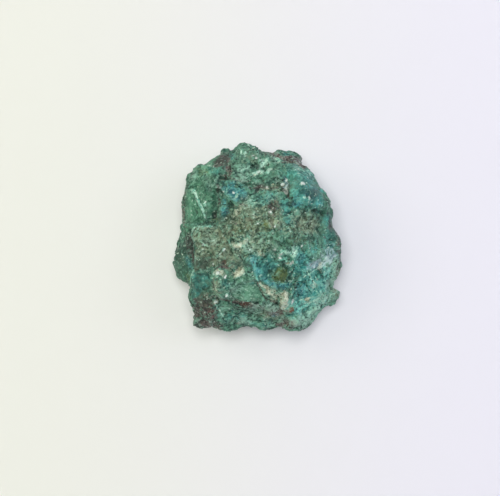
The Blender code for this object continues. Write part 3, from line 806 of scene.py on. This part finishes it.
def worked_places(skin):
    """Heights of the ledges, cracks, veins, knobs, pits and fibres that have places of their own."""
    plan = wavy(skin.points, *RELIEF_STRAY)
    height = np.zeros(len(plan))
    for route, rise, fade in LEDGES:
        off = from_route(plan, route)
        height += rise * np.sign(off) * np.exp(-np.abs(off) / fade)
    for route, depth, half_width in CRACKS:
        height -= depth * np.exp(-((from_route(plan, route) / half_width) ** 2))
    for route, rise, half_width in RIDGES:
        height += rise * np.exp(-((from_route(plan, route) / half_width) ** 2))
    for *oval, rise in KNOBS:
        height += rise * np.maximum(1 - from_middle(plan, *oval) ** 2, 0) ** KNOB_ROUNDNESS
    x, y, reach, heading, spacing, rise = FIBRES
    heading = math.radians(heading)
    across = (plan - (x, y)) @ (-math.sin(heading), math.cos(heading))
    ridges = 1 - 4 * np.abs(across / spacing % 1 - 0.5)
    inside = 1 - smoothstep(*FIBRES_EDGE, np.linalg.norm(plan - (x, y), axis=1) / reach)
    return (height + rise * ridges * inside) * upward(skin, RELIEF_FOOT)


def break_surface(skin):
    """Roughens the stone along its normals, and keeps it over the floor."""
    rng = np.random.default_rng(FLAKE_SEED)
    skin.place(skin.smoothed(skin.points, FACET_SMOOTHING))
    rough = sum(flaked(skin, *flakes, rng) for flakes in FLAKES)
    rough += sum(grained(skin, *grain) for grain in GRAINS)
    height = np.clip(rough * calmness(skin) + worked_places(skin), DEEPEST, HIGHEST)
    points = skin.points + skin.normals() * height[:, None]
    points[:, 2] = np.maximum(points[:, 2], 0.0)
    skin.place(points)


def strewn(plan, kind, places):
    """How much of something lies at each plan point, from ovals that fade outwards and the faces."""
    amount = np.zeros(len(plan))
    for *oval, share in places:
        amount = np.maximum(amount, share * np.exp(-(from_middle(plan, *oval) ** 2) * OVAL_FALL))
    cleared = FACE_CLEARED if kind in PATCHES else 0
    for outline, _, held in FACES:
        inside = within(plan, outline)
        amount = np.maximum(amount * (1 - cleared * inside), held.get(kind, 0) * inside)
    return amount


def turned(points, heading):
    """The points as they lie along and across a heading."""
    heading = math.radians(heading)
    along = points[:, :2] @ (math.cos(heading), math.sin(heading))
    across = points[:, :2] @ (-math.sin(heading), math.cos(heading))
    return np.column_stack([along, across, points[:, 2]])


def combed(skin):
    """Places stretched along the surface's strokes, so that what follows them is drawn out."""
    shown = upward(skin, COLOUR_FOOT) > 0.5
    plan = wavy(skin.points, *STROKE_STRAY)
    places = turned(skin.points, STROKE_HEADING)
    for x, y, reach, heading in STROKES:
        inside = shown & (np.linalg.norm(plan - (x, y), axis=1) < reach)
        if heading is None:
            offset = skin.points[:, :2] - (x, y)
            around = np.arctan2(offset[:, 1], offset[:, 0]) * reach / 2
            local = np.column_stack([around, np.linalg.norm(offset, axis=1), skin.points[:, 2]])
        else:
            local = turned(skin.points, heading)
        places[inside] = local[inside]
    return places / STROKE_SIZE


def drifted(skin, average, shift):
    """Amounts in broad drifts round an average, from 0 to 1."""
    places = [Vector(point) / DRIFT_SIZE + Vector((0, 0, shift)) for point in skin.points]
    drifts = np.array([noise.fractal(place, *DRIFT_NOISE) for place in places])
    return np.clip(average + DRIFT_SHARE * drifts, 0, 1)


def mark_minerals(skin):
    """Stores how much of each mineral lies at each point, from 0 for none to 1 for all."""
    shown = upward(skin, COLOUR_FOOT)
    plan = wavy(skin.points, *PATCH_STRAY)
    vein_plan = wavy(skin.points, *VEIN_STRAY)
    for order, (mineral, patches) in enumerate(PATCHES.items()):
        amount = strewn(plan, mineral, patches)
        for route, half_width, share in VEINS.get(mineral, ()):
            near = np.exp(-((from_route(vein_plan, route) / half_width) ** 2))
            amount = np.maximum(amount, share * near)
        hidden = drifted(skin, HIDDEN_AMOUNTS[mineral], order * DRIFT_STEP)
        skin.mark(mineral, shown * amount + (1 - shown) * hidden)
    skin.mark("stain_and_shade", shown * strewn(plan, "stain_and_shade", STAINS_AND_SHADE))
    skin.mark("bloom_and_light", shown * strewn(plan, "bloom_and_light", BLOOMS_AND_LIGHT))
    skin.mark("hollow", skin.hollowness(*HOLLOWS))
    skin.mark("recess", skin.hollowness(*RECESSES))
    skin.mark("granular", calmness(skin))
    skin.mark("combed", combed(skin))


def keep_one_body(mesh):
    """Takes away the specks inside the stone, which aren't joined to its highest point."""
    shape = bmesh.new()
    shape.from_mesh(mesh)
    joined = set()
    reached = [max(shape.verts, key=lambda corner: corner.co.z)]
    while reached:
        corner = reached.pop()
        if corner not in joined:
            joined.add(corner)
            reached.extend(edge.other_vert(corner) for edge in corner.link_edges)
    specks = [corner for corner in shape.verts if corner not in joined]
    bmesh.ops.delete(shape, geom=specks, context="VERTS")
    shape.to_mesh(mesh)
    shape.free()


class Wire:
    """One output of a finish's nodes. Arithmetic on it adds Math nodes."""

    def __init__(self, finish, socket):
        self.finish = finish
        self.socket = socket

    def maths(self, operation, *values):
        return self.finish.node("ShaderNodeMath", {"operation": operation}, dict(enumerate(values)))

    def __add__(self, other):
        return self.maths("ADD", self, other)

    def __sub__(self, other):
        return self.maths("SUBTRACT", self, other)

    def __rsub__(self, other):
        return self.maths("SUBTRACT", other, self)

    def __mul__(self, other):
        return self.maths("MULTIPLY", self, other)

    def beside(self, output):
        """Another output of the same node."""
        return Wire(self.finish, self.socket.node.outputs[output])

    __radd__ = __add__
    __rmul__ = __mul__


MOTTLE_HARSHNESS = 0.68  # how strong the finest grains of a mottle are


class Finish:
    """A material of its own, with short ways to add its nodes."""

    def __init__(self, name):
        self.material = bpy.data.materials.new(name)
        self.material.use_nodes = True
        self.tree = self.material.node_tree
        self.surface = self.tree.nodes["Principled BSDF"]

    def node(self, kind, settings, sockets, output=0):
        """Adds a node, with its settings set first and then its sockets' values or wires."""
        made = self.tree.nodes.new(kind)
        for name, value in settings.items():
            setattr(made, name, value)
        for key, value in sockets.items():
            self.feed(made.inputs[key], value)
        return Wire(self, made.outputs[output])

    def feed(self, socket, value):
        if isinstance(value, Wire):
            self.tree.links.new(value.socket, socket)
        else:
            socket.default_value = value

    def set(self, **sockets):
        """Sets the surface's own sockets: Base_Color stands for Base Color."""
        for name, value in sockets.items():
            self.feed(self.surface.inputs[name.replace("_", " ")], value)

    def mark(self, name, output="Fac"):
        """A number that the mesh carries, or a row of three as a Vector."""
        return self.node("ShaderNodeAttribute", {"attribute_name": name}, {}, output)

    def place(self):
        """The place on the piece, in millimetres."""
        here = self.node("ShaderNodeTexCoord", {}, {}, "Object")
        return self.node("ShaderNodeVectorMath", {"operation": "SCALE"}, {0: here, "Scale": 1 / MM})

    def bent(self, place, size, reach):
        """The place, pushed about by noise, so that what follows it has uneven borders."""
        sockets = {"Vector": place, "Scale": 1 / size, "Detail": 2.0}
        push = self.node("ShaderNodeTexNoise", {}, sockets, "Color")
        centred = self.node("ShaderNodeVectorMath", {"operation": "SUBTRACT"}, {0: push, 1: (0.5,) * 3})
        settings = {"operation": "MULTIPLY_ADD"}
        return self.node("ShaderNodeVectorMath", settings, {0: centred, 1: (reach,) * 3, 2: place})

    def mottle(self, place, size, detail=5.0, shift=0.0):
        """Noise from 0 to 1 around 0.5, with grains of a size in millimetres."""
        moved = self.node("ShaderNodeVectorMath", {"operation": "ADD"}, {0: place, 1: (shift,) * 3})
        sockets = {"Vector": moved, "Scale": 1 / size, "Detail": detail, "Roughness": MOTTLE_HARSHNESS}
        return self.node("ShaderNodeTexNoise", {}, sockets, "Fac")

    def crystals(self, place, size):
        """Each small crystal's tone, hue and kind, as unlike numbers, and its tilted face's height."""
        cells = self.node("ShaderNodeTexVoronoi", {}, {"Vector": place, "Scale": 1 / size}, "Color")
        tone = self.node("ShaderNodeSeparateColor", {}, {0: cells}, "Red")
        less = {"operation": "SUBTRACT"}
        offset = self.node("ShaderNodeVectorMath", less, {0: place, 1: cells.beside("Position")})
        tilt = self.node("ShaderNodeVectorMath", less, {0: cells, 1: (0.5,) * 3})
        dot = {"operation": "DOT_PRODUCT"}
        face = self.node("ShaderNodeVectorMath", dot, {0: offset, 1: tilt}, "Value")
        return SimpleNamespace(tone=tone, hue=tone.beside("Green"), kind=tone.beside("Blue"), face=face)

    def ramp(self, value, low, high):
        """0 where value is under low, 1 over high, and a soft slope between."""
        settings = {"interpolation_type": "SMOOTHSTEP"}
        return self.node("ShaderNodeMapRange", settings, {0: value, 1: low, 2: high, 3: 0.0, 4: 1.0})

    def mix(self, share, first, second):
        """Second laid over first by its share."""
        settings = {"data_type": "RGBA", "clamp_factor": True}
        return self.node("ShaderNodeMix", settings, {0: share, 6: first, 7: second}, 2)


def paint(red, green, blue):
    """A colour as it shows on a screen, from 0 to 255, in the linear values that light uses."""
    parts = [channel / 255 for channel in (red, green, blue)]
    return (*[p / 12.92 if p <= 0.04045 else ((p + 0.055) / 1.055) ** 2.4 for p in parts], 1.0)


# The minerals' coats, in the order that they are laid: (mineral, its light colour, its dark colour,
# size of the notches in its borders, how deep they are, how much it is crystals and not strokes)
COATS = (
    ("matrix", paint(150, 170, 140), paint(60, 88, 68), 0.9, 0.8, 1.1),
    ("leaf_green", paint(106, 168, 134), paint(22, 86, 62), 1.6, 0.7, 0.5),
    ("teal", paint(88, 180, 164), paint(12, 82, 80), 1.8, 0.8, 0.6),
    ("turquoise", paint(146, 232, 212), paint(24, 130, 124), 1.2, 0.9, 0.6),
    ("blue", paint(100, 190, 184), paint(10, 88, 98), 0.8, 0.8, 0.6),
    ("moss", paint(110, 132, 70), paint(34, 66, 32), 1.0, 0.5, 0.6),
    # umber also paints shade along the cracks and under the ledges
    ("umber_and_shade", paint(122, 110, 104), paint(38, 36, 36), 0.8, 0.8, 1.1),
    ("rust", paint(124, 82, 64), paint(72, 46, 38), 0.7, 0.6, 0.8),
    # partly the stone's colour, partly a painted sheen
    ("lilac_and_sheen", paint(216, 236, 238), paint(86, 144, 150), 0.7, 0.9, 0.4),
    ("mint", paint(208, 248, 226), paint(80, 170, 144), 0.6, 0.8, 0.8),
    ("cream", paint(232, 240, 214), paint(136, 146, 114), 0.7, 0.7, 0.9),
    # painted highlights: white glints
    ("painted_glints", paint(248, 254, 248), paint(214, 230, 220), 0.5, 0.3, 0.6),
)
UNDERCOAT = (paint(96, 154, 128), paint(30, 72, 60))
TONES = (-0.45, 0.45)  # the tone at which a coat has its dark colour, and its light one
BORDER = (0.25, 0.75)  # the amount at which a coat starts to show, and covers

# What lies over the coats: (colour, the amount at which it starts to show and the one at which it is
# whole, how much it covers then)
BROWN_GRAINS = (paint(114, 106, 82), 0.75, 0.95, 0.45)
# partly real dark stains, partly painted shade
STAIN_AND_SHADE = (paint(24, 56, 46), 0.1, 1.0, 0.8)
# partly a real pale bloom, partly painted light
BLOOM_AND_LIGHT = (paint(170, 214, 192), 0.1, 1.1, 0.7)
# dirt in the hollows, with painted shade there and in the deeper recesses
GRIME_AND_SHADE = (paint(22, 50, 38), 0.2, 1.2, 0.65)
WEAR = (paint(130, 196, 170), 0.4, 1.4, 0.4)
# partly real pale grains, partly painted glints
PALE_GRAINS_AND_GLINTS = (paint(200, 230, 208), 0.95, 1.05, 0.7)
PITS = (paint(18, 42, 32), 0.52, 0.36, 0.8)
GLINT = (0.80, 0.90)  # the crystals that shine

# Sizes of the stone's crystals and of its unevenness
SUGAR = 0.34
GRIT = 0.62
LUMPS = 1.3
BROAD = 3.2
MEDIUM = 1.7
GRAIN = 0.9
FINE = 0.4
BENDING = (0.7, 0.35)  # (size, reach) of the bends in what is crystalline
RELIEF_DEPTH = 0.16


def swing(wire, strength):
    """A number from 0 to 1, made to swing about 0."""
    return (wire - 0.5) * strength


def stone_texture(finish):
    """The stone's unevenness, from broad to fine, and its crystals, all as numbers from 0 to 1."""
    place = finish.place()
    bent = finish.bent(place, *BENDING)
    return SimpleNamespace(
        bent=bent,
        broad=finish.mottle(place, BROAD),
        medium=finish.mottle(place, MEDIUM, detail=3.0, shift=7.0),
        grain=finish.mottle(place, GRAIN, shift=11.0),
        fine=finish.mottle(place, FINE, shift=23.0),
        strokes=finish.mottle(finish.mark("combed", "Vector"), 1.0, shift=31.0),
        sugar=finish.crystals(bent, SUGAR),
        grit=finish.crystals(bent, GRIT),
        lumps=finish.crystals(bent, LUMPS),
        roughened=finish.mark("granular") * 0.8 + 0.2,
    )


def coated(finish, texture, body, speckle):
    """The minerals' colours, each over the ones before, with uneven borders."""
    light, dark = UNDERCOAT
    colour = finish.mix(finish.ramp(body + speckle, *TONES), dark, light)
    uneven = swing(texture.grit.hue, 0.3) + swing(texture.sugar.hue, 0.15) + swing(texture.strokes, 0.6)
    for order, (mineral, light, dark, notches, deep, crystalline) in enumerate(COATS):
        spots = finish.mottle(texture.bent, notches, shift=40.0 + 9.0 * order)
        amount = finish.mark(mineral) + swing(spots, 1.2 * deep) + uneven
        tone = body * (1.6 - 0.8 * crystalline) + speckle * crystalline
        tone = tone + swing(texture.strokes, 1.7 - crystalline)
        coat = finish.mix(finish.ramp(tone, *TONES), dark, light)
        colour = finish.mix(finish.ramp(amount, *BORDER), colour, coat)
    return colour


def overlaid(finish, under, layer, amount, where=1.0):
    """A layer laid over the colour under it, where its amount is high."""
    colour, low, high, cover = layer
    return finish.mix(finish.ramp(amount, low, high) * where * cover, under, colour)


def weathered(finish, texture, colour):
    """Brown grains, dark stains with painted shade, pale blooms with painted light, dirt with painted
    shade in the hollows, wear, pale grains with painted glints, and pits, laid over the coats.
    """
    sugar, grit, lumps = texture.sugar, texture.grit, texture.lumps
    browned = finish.mark("matrix") - finish.mark("cream") - finish.mark("mint")
    colour = overlaid(finish, colour, BROWN_GRAINS, grit.kind + swing(lumps.hue, 0.8), browned)
    # Dark stains, partly real and partly painted shade where the stone lies in shadow
    stain_and_shade = finish.mark("stain_and_shade") + swing(texture.grain, 0.8) + swing(grit.tone, 0.3)
    colour = overlaid(finish, colour, STAIN_AND_SHADE, stain_and_shade)
    # Pale bloom, partly real and partly painted light on places the lamps leave in shade
    bloom_and_light = finish.mark("bloom_and_light") + swing(texture.strokes, 1.2) + swing(sugar.tone, 0.5)
    colour = overlaid(finish, colour, BLOOM_AND_LIGHT, bloom_and_light)

    # Dirt and painted shade: darker in the small hollows and the deeper recesses, where less light
    # reaches
    hollow = finish.mark("hollow")
    grime_and_shade = hollow * 0.6 + finish.mark("recess") * 0.5 + swing(texture.grain, 1.4)
    colour = overlaid(finish, colour, GRIME_AND_SHADE, grime_and_shade)
    wear = swing(texture.grain, 1.2) + swing(sugar.tone, 0.8) - hollow
    colour = overlaid(finish, colour, WEAR, wear)

    # Sparse bright crystals: partly real pale grains, partly painted glints
    pale = sugar.kind + swing(texture.broad, 0.5) + swing(texture.strokes, 0.7)
    colour = overlaid(finish, colour, PALE_GRAINS_AND_GLINTS, pale)
    return overlaid(finish, colour, PITS, sugar.tone + texture.fine * 0.8, texture.roughened)


def stone_finish():
    """Speckled copper minerals, with painted glints, pale on worn edges, and dark in the hollows with
    dirt and painted shade.
    """
    finish = Finish("chrysocolla")
    texture = stone_texture(finish)
    sugar, grit, lumps = texture.sugar, texture.grit, texture.lumps
    body = swing(texture.broad, 1.2) + swing(texture.medium, 0.9) + swing(lumps.tone, 0.4)
    body = body * (0.5 + 0.5 * texture.roughened)
    speckle = swing(sugar.tone, 0.4) + swing(grit.tone, 0.45)
    speckle = (speckle + swing(texture.grain, 0.5) + swing(texture.fine, 0.7)) * texture.roughened
    colour = weathered(finish, texture, coated(finish, texture, body, speckle))

    shine = 0.15 * finish.ramp(body + speckle, *TONES) + 0.35 * finish.ramp(sugar.kind, *GLINT)
    roughness = 0.7 - shine
    relief = texture.medium * 0.8 + texture.grain * 0.6 + texture.fine * 0.4 + texture.strokes * 0.4
    faces = sugar.face * 1.5 + grit.face * 2.5 + lumps.face * 1.5
    relief = relief + faces * texture.roughened
    bump = {"Strength": 0.8, "Distance": RELIEF_DEPTH * MM, "Height": relief}
    normal = finish.node("ShaderNodeBump", {}, bump)
    finish.set(Base_Color=colour, Roughness=roughness, Normal=normal)
    return finish.material


def make_stone():
    """The fine stone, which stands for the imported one."""
    noise.seed_set(STRAY_SEED)
    stone = laid_over(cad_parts[STONE_NODE], "rough_stone")
    skin = Skin(stone.data)
    break_surface(skin)
    mark_minerals(skin)
    skin.place(skin.points * MM)
    keep_one_body(stone.data)
    stone.data.shade_smooth()
    stone.data.set_sharp_from_angle(angle=SHARP_FROM)
    stone.data.materials.clear()
    stone.data.materials.append(stone_finish())
    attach(stone, "root")
    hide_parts(STONE_NODE)


# The floor, in metres: a flat disc whose rim sweeps up
FLAT_REACH = 0.35
SWEEP_RADIUS = 0.45
SWEEP_SIDES = 96
SWEEP_STEPS = 16
# Warm at the left and cool at the right: painted tint of the warm left light and the cool right light
PAPER_LEFT = paint(242, 243, 233)
PAPER_RIGHT = paint(242, 240, 251)
PAPER_BLEND = 60.0  # millimetres to each side over which the one colour turns into the other


def make_floor():
    """A pale sheet that lies flat under the stone and sweeps up all round, far from it."""
    mesh = bpy.data.meshes.new("floor")
    sheet = bmesh.new()
    bmesh.ops.create_circle(sheet, cap_ends=True, cap_tris=True, segments=SWEEP_SIDES, radius=FLAT_REACH)
    rim = [edge for edge in sheet.edges if edge.is_boundary]
    for step in range(SWEEP_STEPS):
        angle = math.radians(90 * (step + 0.5) / SWEEP_STEPS)
        grown = bmesh.ops.extrude_edge_only(sheet, edges=rim)["geom"]
        rim = [edge for edge in grown if isinstance(edge, bmesh.types.BMEdge) and edge.is_boundary]
        length = SWEEP_RADIUS * math.radians(90) / SWEEP_STEPS
        for corner in {corner for edge in rim for corner in edge.verts}:
            outwards = corner.co.xy.normalized() * (length * math.cos(angle))
            corner.co += Vector((*outwards, length * math.sin(angle)))
    sheet.to_mesh(mesh)
    sheet.free()
    mesh.shade_smooth()
    floor = bpy.data.objects.new("floor", mesh)
    bpy.context.scene.collection.objects.link(floor)
    finish = Finish("pale_paper")
    across = finish.node("ShaderNodeSeparateXYZ", {}, {0: finish.place()}, "X")
    colour = finish.mix(finish.ramp(across, -PAPER_BLEND, PAPER_BLEND), PAPER_LEFT, PAPER_RIGHT)
    finish.set(Base_Color=colour, Roughness=0.9)
    mesh.materials.append(finish.material)


# The soft boxes, a warm one at the left and a cool one at the right, in metres and watts:
# (name, place, size, power, colour)
SOFT_BOXES = (
    ("left_box", (-0.42, 0.20, 0.60), 0.4, 0.82, (1.0, 0.98, 0.80)),
    ("right_box", (0.42, 0.14, 0.60), 0.4, 0.64, (0.80, 0.84, 1.0)),
    ("top_box", (-0.04, 0.09, 0.90), 0.3, 4.95, (1.0, 1.0, 1.0)),
)
ROOM_LIGHT = 0.09


def soft_light(name, place, size, power, colour):
    """A square soft box that faces the stone."""
    lamp = bpy.data.lights.new(name, "AREA")
    lamp.size = size
    lamp.energy = power
    lamp.color = colour
    holder = bpy.data.objects.new(name, lamp)
    holder.location = place
    holder.rotation_euler = (-Vector(place)).to_track_quat("-Z", "Y").to_euler()
    bpy.context.scene.collection.objects.link(holder)


def light_studio():
    """The soft boxes, and the pale room's own light."""
    for box in SOFT_BOXES:
        soft_light(*box)
    world = bpy.data.worlds.new("pale_room")
    world.use_nodes = True
    background = world.node_tree.nodes["Background"]
    background.inputs["Color"].default_value = (1.0, 1.0, 1.0, 1.0)
    background.inputs["Strength"].default_value = ROOM_LIGHT
    bpy.context.scene.world = world
    bpy.context.scene.view_settings.view_transform = "Standard"


# The camera looks straight down, a little to the left of and in front of the stone's middle
CAMERA_AIM = (-0.0013, -0.0020, 0.011)
FRAME_WIDTH = 0.1  # what the camera sees across, at the height it aims at
LENS = 135.0
SENSOR = 36.0


def make_camera():
    camera = bpy.data.cameras.new("overhead")
    camera.lens = LENS
    camera.sensor_width = SENSOR
    holder = bpy.data.objects.new("overhead", camera)
    x, y, z = CAMERA_AIM
    holder.location = (x, y, z + FRAME_WIDTH * LENS / SENSOR)
    bpy.context.scene.collection.objects.link(holder)
    bpy.context.scene.camera = holder


make_stone()
make_floor()
light_studio()
make_camera()
